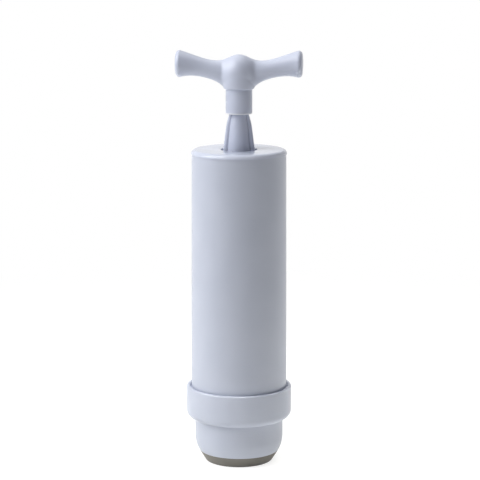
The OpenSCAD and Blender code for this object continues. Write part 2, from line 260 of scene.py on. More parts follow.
# %% [markdown]
# ## The handle
#
# The real handle is one moulding: two arms that flare to domed ends, a round hub that swells out of
# them, and a neck that the rod is pressed into. The arm is made by extruding one ring of vertices
# outwards, and squeezing it at each step so that its height, width and centre follow smooth curves.
# The other arm is its mirror image. Then the hub's skirt is added and the whole is remeshed and
# smoothed, which gives the soft creases of a moulded piece.

# %% Curves that the arm follows
SPAN = high("handle").x
END_RADIUS = 4.7 * MM
WAIST_RADIUS = 3.3 * MM
WAIST_PLACE = 11.0 * MM
HUB_RADIUS = 6.05 * MM
ARM_RISE = 2.75 * MM
END_ROUND = 1.4 * MM
END_DOME = 0.2 * MM
BEND_START = 4.0 * MM
NECK_RADIUS = 4.625 * MM
HUB_HEIGHT = 8.6 * MM
HUB_SINK = 0.1 * MM
TOP_SPREAD = 5.15 * MM
WEB_SPREAD = 4.9 * MM
WEB_DEPTH = 6.7 * MM
SIDE_BLEND = 5
hub_z = neck_z + HUB_HEIGHT
axis_z = hub_z + HUB_RADIUS - HUB_SINK
end_place = SPAN - END_ROUND - END_DOME


def ease(share):
    share = min(1.0, max(0.0, share))
    return share * share * (3 - 2 * share)


def arm_centre(x):
    return ARM_RISE * ease((x - BEND_START) / (end_place - BEND_START))


def arm_radius(x):
    flare = max(0.0, x - WAIST_PLACE) / (end_place - WAIST_PLACE)
    return WAIST_RADIUS + (END_RADIUS - WAIST_RADIUS) * flare ** 2


def arm_top(x):
    return arm_radius(x) + (HUB_RADIUS - WAIST_RADIUS) * math.exp(-((x / TOP_SPREAD) ** 2))


def arm_bottom(x):
    web = WEB_DEPTH * math.exp(-((x / WEB_SPREAD) ** 2))
    return min(arm_radius(x) + web, axis_z + arm_centre(x) - hub_z)


def arm_side(x):
    hub = math.sqrt(max(0.0, HUB_RADIUS ** 2 - x ** 2))
    return (arm_radius(x) ** SIDE_BLEND + hub ** SIDE_BLEND) ** (1 / SIDE_BLEND)


print("waist", round(2 * arm_radius(WAIST_PLACE) / MM, 1), "mm across")

# %% Extrude the right arm ring by ring
ARM_STEPS = 44
ARM_SIDES = 64
RIM_STEPS = 6
EVEN_SHARE = 0.6
CROWDED_SHARE = 0.4
DOME_STEPS = ((1.6 * MM, 0.75), (1.2 * MM, 0.25))
MIRROR_MERGE = 0.01 * MM


def arm_rings():
    """Place, height, width and centre of each ring, closer together near the hub."""
    rings = []
    for i in range(ARM_STEPS + 1):
        share = i / ARM_STEPS
        x = end_place * (EVEN_SHARE * share + CROWDED_SHARE * share ** 3)
        tall = (arm_top(x) + arm_bottom(x)) / 2
        middle = axis_z + arm_centre(x) + (arm_top(x) - arm_bottom(x)) / 2
        rings.append((x, tall, arm_side(x), middle))
    for k in range(1, RIM_STEPS + 1):
        a = math.radians(90 * k / RIM_STEPS)
        size = END_RADIUS - END_ROUND * (1 - math.cos(a))
        rings.append((end_place + END_ROUND * math.sin(a), size, size, axis_z + ARM_RISE))
    return rings


rings = arm_rings()
deselect()
bpy.ops.mesh.primitive_circle_add(
    vertices=ARM_SIDES, radius=1.0, location=(rings[0][0], 0, rings[0][3]),
    rotation=(0, math.radians(90), 0),
)
handle = bpy.context.object
handle.name = "handle_grip"
handle.data.name = "handle_grip"
bpy.ops.object.transform_apply(location=True, rotation=True, scale=True)
bpy.ops.object.mode_set(mode="EDIT")
bpy.ops.mesh.select_all(action="SELECT")
bpy.ops.transform.resize(
    value=(1, rings[0][2], rings[0][1]), center_override=(rings[0][0], 0, rings[0][3]),
)
for before, after in zip(rings, rings[1:]):
    step = (after[0] - before[0], 0, after[3] - before[3])
    bpy.ops.mesh.extrude_edges_move(TRANSFORM_OT_translate={"value": step})
    bpy.ops.transform.resize(
        value=(1, after[2] / before[2], after[1] / before[1]),
        center_override=(after[0], 0, after[3]),
    )
bpy.ops.mesh.edge_face_add()
for thickness, share in DOME_STEPS:
    bpy.ops.mesh.inset(thickness=thickness)
    bpy.ops.transform.translate(value=(END_DOME * share, 0, 0))
bpy.ops.object.mode_set(mode="OBJECT")
apply_modifier(handle, "MIRROR", use_axis=(True, False, False), merge_threshold=MIRROR_MERGE)
count(handle)

# %% Add the hub's skirt and blend the pieces into one skin
SKIRT_RADIUS = NECK_RADIUS + 0.4 * MM
SKIRT_INSET = 0.05 * MM
VOXEL = 0.2 * MM
skirt_flare = HUB_RADIUS - SKIRT_INSET - SKIRT_RADIUS
skirt_outline = [(0, hub_z)]
for angle in range(0, 91, 15):
    a = math.radians(angle)
    skirt_outline.append(
        (SKIRT_RADIUS + skirt_flare * math.sin(a), hub_z + (axis_z - hub_z) * (1 - math.cos(a)))
    )
skirt_outline.append((0, axis_z))
skirt = turn("hub_skirt", skirt_outline)

choose(handle)
bpy.ops.object.mode_set(mode="EDIT")
bpy.ops.mesh.select_all(action="SELECT")
bpy.ops.mesh.normals_make_consistent(inside=False)
bpy.ops.object.mode_set(mode="OBJECT")
unite(handle, skirt)
apply_modifier(handle, "REMESH", mode="VOXEL", voxel_size=VOXEL, use_smooth_shade=True)
apply_modifier(handle, "SMOOTH", factor=0.5, iterations=8)
count(handle)

# %% Add the neck with its socket for the rod
BORE_RADIUS = 3.025 * MM
BORE_BEVEL = 0.2 * MM
NECK_ROUND = 0.4 * MM
SHOULDER_ROUND = 0.15 * MM
SHOULDER_DROP = 0.1 * MM
ROOT_INSET = 0.5 * MM
root_z = hub_z + 1.2 * MM
socket_z = hub_z - 0.3 * MM
neck_outline = (
    [(BORE_RADIUS + BORE_BEVEL, neck_z)]
    + arc((NECK_RADIUS - NECK_ROUND, neck_z + NECK_ROUND), NECK_ROUND, -90, 0, 6)
    + arc((NECK_RADIUS - SHOULDER_ROUND, hub_z - SHOULDER_DROP), SHOULDER_ROUND, 0, 60, 4)
    + [(NECK_RADIUS - ROOT_INSET, root_z), (0, root_z),
       (0, socket_z), (BORE_RADIUS, socket_z), (BORE_RADIUS, neck_z + BORE_BEVEL)]
)
neck = turn("handle_neck", neck_outline)
unite(handle, neck)
clean(handle)
smooth(handle)
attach(handle, "plunger")
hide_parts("handle")
count(handle)

# %% [markdown]
# ## The cap
#
# The cap is a thin flange with a plug under it that sits in the barrel. Its upper edge is rounded,
# because that is where a thumb rests, and the hole in the middle leaves play round the rod, so that
# the air can leave. It is turned like a pot lid. Six ribs under the flange keep it flat. They end a
# little above the foot of the hole's guide, because two faces in one plane make a poor join.

# %% Turn the cap
CAP_RADIUS = high("top_cap").x
CAP_ROUND = 1.5 * MM
HOLE_RADIUS = 6.3 * MM
HOLE_ROUND = 0.4 * MM
GUIDE_RADIUS = 8.1 * MM
GUIDE_LENGTH = 3.0 * MM
PLUG_WALL = 1.6 * MM
BORE = 15.0 * MM
PLUG_RADIUS = BORE - 0.05 * MM
cap_z = high("barrel").z
plug_z = low("top_cap").z
cap = turn("cap", (
    [(HOLE_RADIUS, cap_z - GUIDE_LENGTH), (GUIDE_RADIUS, cap_z - GUIDE_LENGTH),
     (GUIDE_RADIUS, cap_z), (PLUG_RADIUS - PLUG_WALL, cap_z), (PLUG_RADIUS - PLUG_WALL, plug_z),
     (PLUG_RADIUS, plug_z), (PLUG_RADIUS, cap_z), (CAP_RADIUS, cap_z)]
    + arc((CAP_RADIUS - CAP_ROUND, cap_top - CAP_ROUND), CAP_ROUND, 0, 90, 12)
    + arc((HOLE_RADIUS + HOLE_ROUND, cap_top - HOLE_ROUND), HOLE_ROUND, 90, 180, 5)
))
count(cap)

# %% Add the ribs under the flange
RIBS = 6
RIB_THICKNESS = 1.2 * MM
RIB_OVERLAP = 0.5 * MM
RIB_SETBACK = 0.1 * MM
rib_start = GUIDE_RADIUS - RIB_OVERLAP
rib_end = PLUG_RADIUS - PLUG_WALL + RIB_OVERLAP


def block(name, low_corner, high_corner):
    deselect()
    centre = (Vector(low_corner) + Vector(high_corner)) / 2
    bpy.ops.mesh.primitive_cube_add(size=1, location=centre)
    piece = bpy.context.object
    piece.name = name
    piece.scale = Vector(high_corner) - Vector(low_corner)
    bpy.ops.object.transform_apply(location=True, rotation=True, scale=True)
    return piece


for i in range(RIBS):
    rib = block(
        "rib", (rib_start, -RIB_THICKNESS / 2, cap_z - GUIDE_LENGTH + RIB_SETBACK),
        (rib_end, RIB_THICKNESS / 2, cap_z + RIB_OVERLAP),
    )
    rib.rotation_euler.z = math.tau * (i + 0.5) / RIBS
    bpy.ops.object.transform_apply(location=True, rotation=True, scale=True)
    unite(cap, rib)
clean(cap)
smooth(cap)
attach(cap, "shell")
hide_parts("top_cap")
count(cap)

# %% [markdown]
# ## The barrel
#
# The barrel is a plain tube. It is 0.35 mm wider in radius at its foot than at its top, because a
# moulding has to slide out of its steel, and this draft is what makes its sides look not quite
# parallel. Three ridges at the foot take the collar's thread.

# %% Turn the barrel
barrel_z = low("barrel").z
TOP_RADIUS = 16.5 * MM
FOOT_RADIUS = 16.85 * MM
THREAD_PITCH = 1.5 * MM
THREAD_HEIGHT = high("barrel").x - FOOT_RADIUS
ridges = []
for i in range(3):
    ridge_z = barrel_z + THREAD_PITCH * (i + 0.5)
    ridges += [
        (FOOT_RADIUS, ridge_z - THREAD_PITCH / 4),
        (FOOT_RADIUS + THREAD_HEIGHT, ridge_z - THREAD_PITCH / 8),
        (FOOT_RADIUS + THREAD_HEIGHT, ridge_z + THREAD_PITCH / 8),
        (FOOT_RADIUS, ridge_z + THREAD_PITCH / 4),
    ]
barrel = turn("barrel_tube", (
    [(BORE, barrel_z), (FOOT_RADIUS, barrel_z)] + ridges + [(TOP_RADIUS, cap_z), (BORE, cap_z)]
))
smooth(barrel)
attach(barrel, "shell")
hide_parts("barrel")
count(barrel)

# %% [markdown]
# ## The collar
#
# The collar is the ring that screws the nozzle on. Its lower edge has a large radius, which catches
# the light from the table as a bright line, and its rim has a small one. Both are drawn as arcs of
# the outline, because a bevel can't give two sizes at once.

# %% Turn the collar
COLLAR_RADIUS = high("collar").x
COLLAR_INSIDE = 17.25 * MM
COLLAR_HOLE = 15.85 * MM
COLLAR_ROUND = 2.7 * MM
RIM_ROUND = 0.6 * MM
RIM_BEVEL = 0.3 * MM
FLANGE_THICKNESS = 2.2 * MM
flange_z = collar_z + FLANGE_THICKNESS
collar = turn("collar_ring", (
    [(COLLAR_HOLE, collar_z)]
    + arc((COLLAR_RADIUS - COLLAR_ROUND, collar_z + COLLAR_ROUND), COLLAR_ROUND, -90, 0, 16)
    + arc((COLLAR_RADIUS - RIM_ROUND, collar_top - RIM_ROUND), RIM_ROUND, 0, 90, 8)
    + [(COLLAR_INSIDE + RIM_BEVEL, collar_top), (COLLAR_INSIDE, collar_top - RIM_BEVEL),
       (COLLAR_INSIDE, flange_z), (COLLAR_HOLE, flange_z)]
))
soften(collar, EDGE_ROUND)
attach(collar, "shell")
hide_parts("collar")
count(collar)

# %% [markdown]
# ## The nozzle
#
# The nozzle is a cup that draws in to its lower rim. Its side is straight under the collar and then
# follows a 10 mm arc, whose middle lies inside the cup, so the cup never shows a corner there.

# %% Turn the nozzle
NOZZLE_RADIUS = 15.55 * MM
NOZZLE_WALL = 1.8 * MM
CURVE_RADIUS = 10.0 * MM
CURVE_HEIGHT = 5.3 * MM
LIP_REACH = 2.6 * MM
LIP_THICKNESS = 2.5 * MM
LIP_BEVEL = 1.0 * MM
plate_z = high("nozzle").z
clamp_radius = high("nozzle").x
curve_angle = math.degrees(math.asin(CURVE_HEIGHT / CURVE_RADIUS))
rim_radius = NOZZLE_RADIUS - CURVE_RADIUS * (1 - math.cos(math.radians(curve_angle)))
lip_radius = rim_radius - LIP_REACH
nozzle_inside = NOZZLE_RADIUS - NOZZLE_WALL
nozzle = turn("nozzle_cup", (
    [(lip_radius, nozzle_z)]
    + arc((NOZZLE_RADIUS - CURVE_RADIUS, nozzle_z + CURVE_HEIGHT), CURVE_RADIUS, -curve_angle, 0, 18)
    + [(NOZZLE_RADIUS, flange_z), (clamp_radius, flange_z), (clamp_radius, plate_z),
       (nozzle_inside, plate_z), (nozzle_inside, nozzle_z + LIP_THICKNESS + LIP_BEVEL),
       (nozzle_inside - LIP_BEVEL, nozzle_z + LIP_THICKNESS), (lip_radius, nozzle_z + LIP_THICKNESS)]
))
soften(nozzle, EDGE_ROUND)
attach(nozzle, "shell")
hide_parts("nozzle")
print("nozzle rim", round(2 * rim_radius / MM, 1), "mm across")

# %% [markdown]
# ## The foot pad
#
# The pad is soft rubber, snapped over the nozzle's lip by a bead inside. Its side leans in and ends
# in a small round edge, because a rubber lip with a sharp edge would tear and leak.

# %% Turn the foot pad
PAD_LEAN = 1.9 * MM
PAD_EDGE = 0.5 * MM
PAD_BRIM = 0.3 * MM
PAD_GAP = 0.05 * MM
BEAD_FOOT = 1.0 * MM
BEAD_TIP = 0.5 * MM
MOUTH_RADIUS = 7.0 * MM
brim_radius = high("foot_pad").x
snap_z = nozzle_z + LIP_THICKNESS
pad_top = high("foot_pad").z
lean = math.degrees(math.atan2(PAD_LEAN, nozzle_z))
edge_centre = (brim_radius - PAD_LEAN - PAD_EDGE, foot_z + PAD_EDGE)
pad = turn("foot_pad_rubber", (
    [(MOUTH_RADIUS, foot_z)]
    + arc(edge_centre, PAD_EDGE, -90, -lean, 8)
    + [(brim_radius, nozzle_z - PAD_BRIM), (brim_radius, nozzle_z),
       (lip_radius - PAD_GAP, nozzle_z), (lip_radius - PAD_GAP, snap_z),
       (lip_radius + BEAD_FOOT, snap_z), (lip_radius + BEAD_TIP, pad_top), (MOUTH_RADIUS, pad_top)]
))
soften(pad, RUBBER_EDGE_ROUND)
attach(pad, "shell")
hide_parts("foot_pad")
count(pad)

# %% [markdown]
# ## The rod
#
# The rod is a round core with a fin on each side, which keeps it stiff with little plastic. The fins
# have well rounded edges, and meet the core in a crease. The section is drawn once and extruded up
# ring by ring. Above the cap it narrows to a knee, and past the knee more steeply, so each ring is
# scaled by the width that the rod has there.

# %% Draw the rod's section
CORE_RADIUS = 4.05 * MM
FIN_REACH = 5.5 * MM
FIN_HALF = 1.3 * MM
FIN_EDGE = 1.1 * MM
FILLET = 0.15 * MM
crease_y = FIN_HALF + FILLET
crease_x = math.sqrt((CORE_RADIUS + FILLET) ** 2 - crease_y ** 2)


def rod_quarter():
    """Points of the section's right upper quarter, from the fin's edge round to the top."""
    meet = math.degrees(math.atan2(crease_y, crease_x))
    return (
        arc((FIN_REACH - FIN_EDGE, FIN_HALF - FIN_EDGE), FIN_EDGE, 0, 90, 8)
        + arc((crease_x, crease_y), FILLET, 270, 180 + meet, 4)
        + arc((0, 0), CORE_RADIUS, meet, 90, 12)[1:]
    )


quarter = rod_quarter()
upper = quarter + [(-x, y) for x, y in reversed(quarter[:-1])]
section = upper + [(x, -y) for x, y in reversed(upper)]
print("rod section of", len(section), "points")

# %% The rod's rings: a height above the cap, then the shares of the core's and the fins' width
KNEE = (8.9 * MM, 6.2 * MM / (2 * CORE_RADIUS), 8.7 * MM / (2 * FIN_REACH))
TIP = (neck_z - cap_top, 4.9 * MM / (2 * CORE_RADIUS), 6.7 * MM / (2 * FIN_REACH))
KNEE_SHARE = 0.4
KNEE_STEPS = 8
PLAIN_LENGTH = 20 * MM
HUB_GAP = 0.1 * MM
rod_z = high("piston").z + HUB_GAP


def knee_point(t):
    """Height above the cap and the two scales, along the short curve that rounds the knee."""
    bend = (TIP[0] - KNEE[0]) * KNEE_SHARE
    first = [KNEE[0] - bend] + [1 + (KNEE[k] - 1) * (KNEE[0] - bend) / KNEE[0] for k in (1, 2)]
    share = bend / (TIP[0] - KNEE[0])
    last = [KNEE[0] + bend] + [KNEE[k] + (TIP[k] - KNEE[k]) * share for k in (1, 2)]
    return [
        (1 - t) ** 2 * a + 2 * t * (1 - t) * b + t * t * c for a, b, c in zip(first, KNEE, last)
    ]


rod_rings = [(rod_z, 1, 1), (cap_top - PLAIN_LENGTH, 1, 1), (cap_top, 1, 1)]
for k in range(KNEE_STEPS + 1):
    height, deep, wide = knee_point(k / KNEE_STEPS)
    rod_rings.append((cap_top + height, deep, wide))
rod_rings.append((neck_z, TIP[1], TIP[2]))
print("rod bar from", round(rod_z / MM, 1), "to", round(neck_z / MM, 1), "mm")

# %% Extrude the section up the rod
deselect()
bpy.ops.mesh.primitive_plane_add(size=MM)
rod = bpy.context.object
rod.name = "rod_bar"
rod.data.name = "rod_bar"
bpy.ops.object.mode_set(mode="EDIT")
bpy.ops.mesh.merge(type="CENTER")
bpy.ops.transform.translate(value=(section[0][0], section[0][1], rod_z))
for here, there in zip(section, section[1:] + section[:1]):
    step = (there[0] - here[0], there[1] - here[1], 0)
    bpy.ops.mesh.extrude_region_move(TRANSFORM_OT_translate={"value": step})
bpy.ops.mesh.select_all(action="SELECT")
bpy.ops.mesh.remove_doubles(threshold=JOIN_DISTANCE)
bpy.ops.mesh.edge_face_add()
for before, after in zip(rod_rings, rod_rings[1:]):
    rise = (0, 0, after[0] - before[0])
    bpy.ops.mesh.extrude_region_move(TRANSFORM_OT_translate={"value": rise})
    bpy.ops.transform.resize(
        value=(after[2] / before[2], after[1] / before[1], 1), center_override=(0, 0, after[0]),
    )
bpy.ops.mesh.select_all(action="SELECT")
bpy.ops.mesh.normals_make_consistent(inside=False)
bpy.ops.object.mode_set(mode="OBJECT")
count(rod)

# %% Add the tenon and the snap tail
TENON_RADIUS = BORE_RADIUS - 0.05 * MM
TENON_ROOT = 2.2 * MM
TENON_BEVEL = 0.3 * MM
TAIL_RADIUS = 3.3 * MM
TAIL_BEVEL = 0.5 * MM
TAIL_BEAD = 0.5 * MM
TAIL_SLOT = 1.2 * MM
OVERLAP = 1.0 * MM
tail_z = low("rod").z
tenon_z = high("rod").z
bead_z = tail_z + 0.7 * MM
bead_low, bead_high, bead_end = bead_z + 0.5 * MM, bead_z + 1.0 * MM, bead_z + 1.8 * MM
tenon = turn("tenon", [
    (0, neck_z - OVERLAP), (TENON_ROOT, neck_z - OVERLAP), (TENON_ROOT, neck_z),
    (TENON_RADIUS, neck_z), (TENON_RADIUS, tenon_z - TENON_BEVEL),
    (TENON_RADIUS - TENON_BEVEL, tenon_z), (0, tenon_z),
], steps=SMALL_TURN_STEPS)
tail = turn("tail", [
    (0, tail_z), (TAIL_RADIUS - TAIL_BEVEL, tail_z), (TAIL_RADIUS, bead_z),
    (TAIL_RADIUS + TAIL_BEAD, bead_low), (TAIL_RADIUS + TAIL_BEAD, bead_high),
    (TAIL_RADIUS, bead_end), (TAIL_RADIUS, rod_z + OVERLAP), (0, rod_z + OVERLAP),
], steps=SMALL_TURN_STEPS)
slot = block(
    "slot", (-FIN_REACH, -TAIL_SLOT / 2, tail_z - OVERLAP),
    (FIN_REACH, TAIL_SLOT / 2, rod_z - OVERLAP),
)
cut(tail, slot)
unite(rod, tenon)
unite(rod, tail)
clean(rod)
smooth(rod)
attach(rod, "plunger")
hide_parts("rod")
count(rod)

# %% [markdown]
# ## The light
#
# A pale, softly shining product needs large lamps. One soft lamp stands high at the left and gives
# the bright side, one hangs overhead for the cap, and a weak one behind at the right draws the edge
# of the shaded side. A white table is half of the light in such a studio: it throws light up under
# the collar and into the shade. The backdrop is white only for the camera and for reflections, so
# it adds nothing to the light that falls on the pump.

# %% Lamps
LAMP_TARGET = (0, 0, 0.075)


def lamp(name, place, width, height, power):
    deselect()
    bpy.ops.object.light_add(type="AREA", location=place)
    light = bpy.context.object
    light.name = name
    light.data.shape = "RECTANGLE"
    light.data.size = width
    light.data.size_y = height
    light.data.energy = power
    light.visible_camera = False
    aim = (Vector(LAMP_TARGET) - Vector(place)).to_track_quat("-Z", "Y")
    light.rotation_euler = aim.to_euler()


lamp("left_lamp", (-0.75, -0.25, 0.75), 0.9, 0.9, 11.9)
lamp("top_lamp", (0, 0.15, 0.95), 0.9, 0.9, 3.6)
lamp("right_lamp", (0.80, 0.45, 0.10), 0.6, 0.5, 0.45)

# %% [markdown]
# Narrow lamps that shine down beside the pump light only the table. Each has a direction round the
# pump, a distance from it, a cone and a power. Their light is a little warm, and reaches the pump
# after one bounce.

# %% Lamps for the table alone
TABLE_LAMP_HEIGHT = 0.9
TABLE_LAMP_LEAN = 0.26
TABLE_LAMP_COLOUR = (1.0, 0.98, 0.88)


def table_lamp(name, toward, distance, cone, power):
    deselect()
    way = Vector((math.sin(math.radians(toward)), math.cos(math.radians(toward)), 0))
    place = way * (distance + TABLE_LAMP_LEAN) + Vector((0, 0, TABLE_LAMP_HEIGHT))
    bpy.ops.object.light_add(type="SPOT", location=place)
    light = bpy.context.object
    light.name = name
    light.data.energy = power
    light.data.color = TABLE_LAMP_COLOUR
    light.data.spot_size = math.radians(cone)
    light.data.spot_blend = 0.8
    light.data.shadow_soft_size = 0.02
    light.visible_camera = False
    light.rotation_euler = (way * distance - place).to_track_quat("-Z", "Y").to_euler()


table_lamp("table_lamp_right", 90, 0.12, 11, 46)
table_lamp("table_lamp_left", 270, 0.12, 11, 41)
table_lamp("table_lamp_back", 0, 0.12, 11, 19)
table_lamp("table_lamp_near_front", 180, 0.028, 2.4, 30)
table_lamp("table_lamp_near_right", 90, 0.055, 6, 26)
table_lamp("table_lamp_near_left", 270, 0.055, 6, 18)

# %% [markdown]
# Masks are worked out with Math nodes, which two short functions place and feed. The mask that comes
# with them is used twice below. It parts what the camera and the reflections see from what only
# gives light.

# %% Helpers for sums in a node tree


def feed(tree, value, socket):
    """Links an output to a socket, or sets a plain number on it."""
    if isinstance(value, (int, float)):
        socket.default_value = value
    else:
        tree.links.new(value, socket)


def maths(tree, operation, *values):
    node = tree.nodes.new("ShaderNodeMath")
    node.operation = operation
    for value, socket in zip(values, node.inputs):
        feed(tree, value, socket)
    return node.outputs[0]


def seen_directly(tree):
    """A mask that is 1 for the camera, for reflections and through clear things."""
    rays = tree.nodes.new("ShaderNodeLightPath").outputs
    either = maths(tree, "MAXIMUM", rays["Is Camera Ray"], rays["Is Glossy Ray"])
    return maths(tree, "MAXIMUM", either, rays["Is Transmission Ray"])


# %% A white world that only the camera and reflections see at full strength
FILL = 0.08
FILL_COLOUR = (1.0, 0.94, 0.95, 1)
world = bpy.data.worlds.new("studio")
bpy.context.scene.world = world
world.use_nodes = True
tree = world.node_tree
tree.nodes.clear()
fill = tree.nodes.new("ShaderNodeBackground")
fill.inputs["Color"].default_value = FILL_COLOUR
fill.inputs["Strength"].default_value = FILL
white = tree.nodes.new("ShaderNodeBackground")
white.inputs["Color"].default_value = (1, 1, 1, 1)
white.inputs["Strength"].default_value = 1.0
choice = tree.nodes.new("ShaderNodeMixShader")
tree.links.new(seen_directly(tree), choice.inputs["Fac"])
tree.links.new(fill.outputs[0], choice.inputs[1])
tree.links.new(white.outputs[0], choice.inputs[2])
output = tree.nodes.new("ShaderNodeOutputWorld")
tree.links.new(choice.outputs[0], output.inputs["Surface"])
bpy.context.scene.view_settings.view_transform = "Standard"

# %% [markdown]
# ## The table
#
# The table is one large white plane. Light that bounces sees its real, nearly white colour. The
# camera sees a mixture of glow and matt white, which keeps a soft shadow where the pump stands, and
# away from the pump it turns into the same white as the backdrop, so that no horizon shows.
# Reflections see that plain white all over, or the lamps' pools of light would show in the gloss.

# %% The table under the pump
FLOOR_SIZE = 12
FLOOR_GAP = 0.02 * MM
deselect()
bpy.ops.mesh.primitive_plane_add(size=FLOOR_SIZE)
floor = bpy.context.object
floor.name = "floor"
bpy.ops.object.mode_set(mode="EDIT")
bpy.ops.transform.translate(value=(0, 0, foot_z - FLOOR_GAP))
bpy.ops.object.mode_set(mode="OBJECT")

# %% What the table looks like
TABLE_COLOUR = (0.88, 0.88, 0.87, 1)
SHADOW_COLOUR = (0.28, 0.28, 0.28, 1)
NEAR_GLOW = 0.84
FADE_FROM = 0.10
FADE_TO = 0.35
table = bpy.data.materials.new("white_table")
table.use_nodes = True
tree = table.node_tree
tree.nodes.clear()
matt = tree.nodes.new("ShaderNodeBsdfDiffuse")
matt.inputs["Color"].default_value = TABLE_COLOUR
shade = tree.nodes.new("ShaderNodeBsdfDiffuse")
shade.inputs["Color"].default_value = SHADOW_COLOUR
glow = tree.nodes.new("ShaderNodeEmission")
glow.inputs["Strength"].default_value = NEAR_GLOW
near = tree.nodes.new("ShaderNodeAddShader")
tree.links.new(shade.outputs[0], near.inputs[0])
tree.links.new(glow.outputs[0], near.inputs[1])
far = tree.nodes.new("ShaderNodeEmission")
far.inputs["Strength"].default_value = 1.0
place = tree.nodes.new("ShaderNodeTexCoord")
distance = tree.nodes.new("ShaderNodeVectorMath")
distance.operation = "LENGTH"
tree.links.new(place.outputs["Object"], distance.inputs[0])
fade = tree.nodes.new("ShaderNodeMapRange")
fade.interpolation_type = "SMOOTHSTEP"
fade.inputs["From Min"].default_value = FADE_FROM
fade.inputs["From Max"].default_value = FADE_TO
tree.links.new(distance.outputs["Value"], fade.inputs["Value"])
rays = tree.nodes.new("ShaderNodeLightPath").outputs
not_camera = maths(tree, "SUBTRACT", 1.0, rays["Is Camera Ray"])
seen = tree.nodes.new("ShaderNodeMixShader")
tree.links.new(maths(tree, "MAXIMUM", fade.outputs[0], not_camera), seen.inputs["Fac"])
tree.links.new(near.outputs[0], seen.inputs[1])
tree.links.new(far.outputs[0], seen.inputs[2])
choice = tree.nodes.new("ShaderNodeMixShader")
tree.links.new(seen_directly(tree), choice.inputs["Fac"])
tree.links.new(matt.outputs[0], choice.inputs[1])
tree.links.new(seen.outputs[0], choice.inputs[2])
output = tree.nodes.new("ShaderNodeOutputMaterial")
tree.links.new(choice.outputs[0], output.inputs["Surface"])
floor.data.materials.append(table)
print("table of", len(tree.nodes), "nodes")

# %% [markdown]
# ## Effects that the finishes share
#
# A moulding is never one flat colour. The plastic flows as it fills the mould and leaves faint
# clouds, the steel prints its own grain on it, and use leaves hairlines. Each effect is a small node
# group with a size to set, built once and used by every finish with its own values. All of them read
# Object coordinates, so a pattern stays on its piece when the pump is worked.

# %% A helper that starts a node group


def new_group(name, inputs, output):
    group = bpy.data.node_groups.new(name, "ShaderNodeTree")
    for label, value in inputs:
        socket = group.interface.new_socket(label, in_out="INPUT", socket_type="NodeSocketFloat")
        socket.default_value = value
    group.interface.new_socket(output, in_out="OUTPUT", socket_type="NodeSocketFloat")
    return group, group.nodes.new("NodeGroupInput"), group.nodes.new("NodeGroupOutput")


def noise(tree, scale, detail, rough, stretch=None):
    """A noise on Object coordinates. A stretch below 1 draws the pattern out along that axis."""
    place = tree.nodes.new("ShaderNodeTexCoord")
    pattern = tree.nodes.new("ShaderNodeTexNoise")
    pattern.inputs["Detail"].default_value = detail
    pattern.inputs["Roughness"].default_value = rough
    source = place.outputs["Object"]
    if stretch:
        mapping = tree.nodes.new("ShaderNodeMapping")
        mapping.inputs["Scale"].default_value = stretch
        tree.links.new(source, mapping.inputs["Vector"])
        source = mapping.outputs["Vector"]
    tree.links.new(source, pattern.inputs["Vector"])
    feed(tree, scale, pattern.inputs["Scale"])
    return pattern.outputs["Fac"]


def remap(tree, value, low_in, high_in, low_out, high_out):
    spread = tree.nodes.new("ShaderNodeMapRange")
    spread.interpolation_type = "SMOOTHSTEP"
    spread.inputs["From Min"].default_value = low_in
    spread.inputs["From Max"].default_value = high_in
    spread.inputs["To Min"].default_value = low_out
    spread.inputs["To Max"].default_value = high_out
    tree.links.new(value, spread.inputs["Value"])
    return spread.outputs["Result"]


# %% Clouds of the moulding
clouds, ins, outs = new_group("moulding_clouds", [("Scale", 90.0)], "Cloud")
soft = remap(clouds, noise(clouds, ins.outputs["Scale"], 1, 0.4), 0.2, 0.8, 0, 1)
clouds.links.new(soft, outs.inputs["Cloud"])

# %% Grain of the mould's steel
grain, ins, outs = new_group("steel_grain", [("Scale", 1500.0)], "Height")
grain.links.new(noise(grain, ins.outputs["Scale"], 2, 0.6), outs.inputs["Height"])

# %% Hairlines of use, which run round a piece and fade in patches
HAIRLINE_SCALE = 2600.0
HAIRLINE_STRETCH = (0.012, 0.012, 1)
PATCH_SCALE = 90.0
hairlines, ins, outs = new_group("hairlines", [("Scale", HAIRLINE_SCALE)], "Mask")
streaks = noise(hairlines, ins.outputs["Scale"], 2, 0.5, HAIRLINE_STRETCH)
lines = remap(hairlines, streaks, 0.55, 0.75, 0, 1)
patches = remap(hairlines, noise(hairlines, PATCH_SCALE, 0, 0.5), 0.45, 0.75, 0, 1)
hairlines.links.new(maths(hairlines, "MULTIPLY", lines, patches), outs.inputs["Mask"])
print("node groups:", [group.name for group in bpy.data.node_groups])

# %% [markdown]
# ## Finishes
#
# One function builds them all from the three effects: two near colours that the clouds mix, a
# roughness that the clouds and the hairlines move a little, and a grain that only bends the light.
# Numbers that are the same all over stay on the shader itself.

# %% A finish from two colours, its gloss and its grain
WORN_GAIN = 1.15
WORN_LIFT = 0.02
WORN_LIMIT = 0.9
SCRATCH_DULLS = 0.8


def use_group(tree, group, scale):
    node = tree.nodes.new("ShaderNodeGroup")
    node.node_tree = group
    node.inputs["Scale"].default_value = scale
    return node.outputs[0]


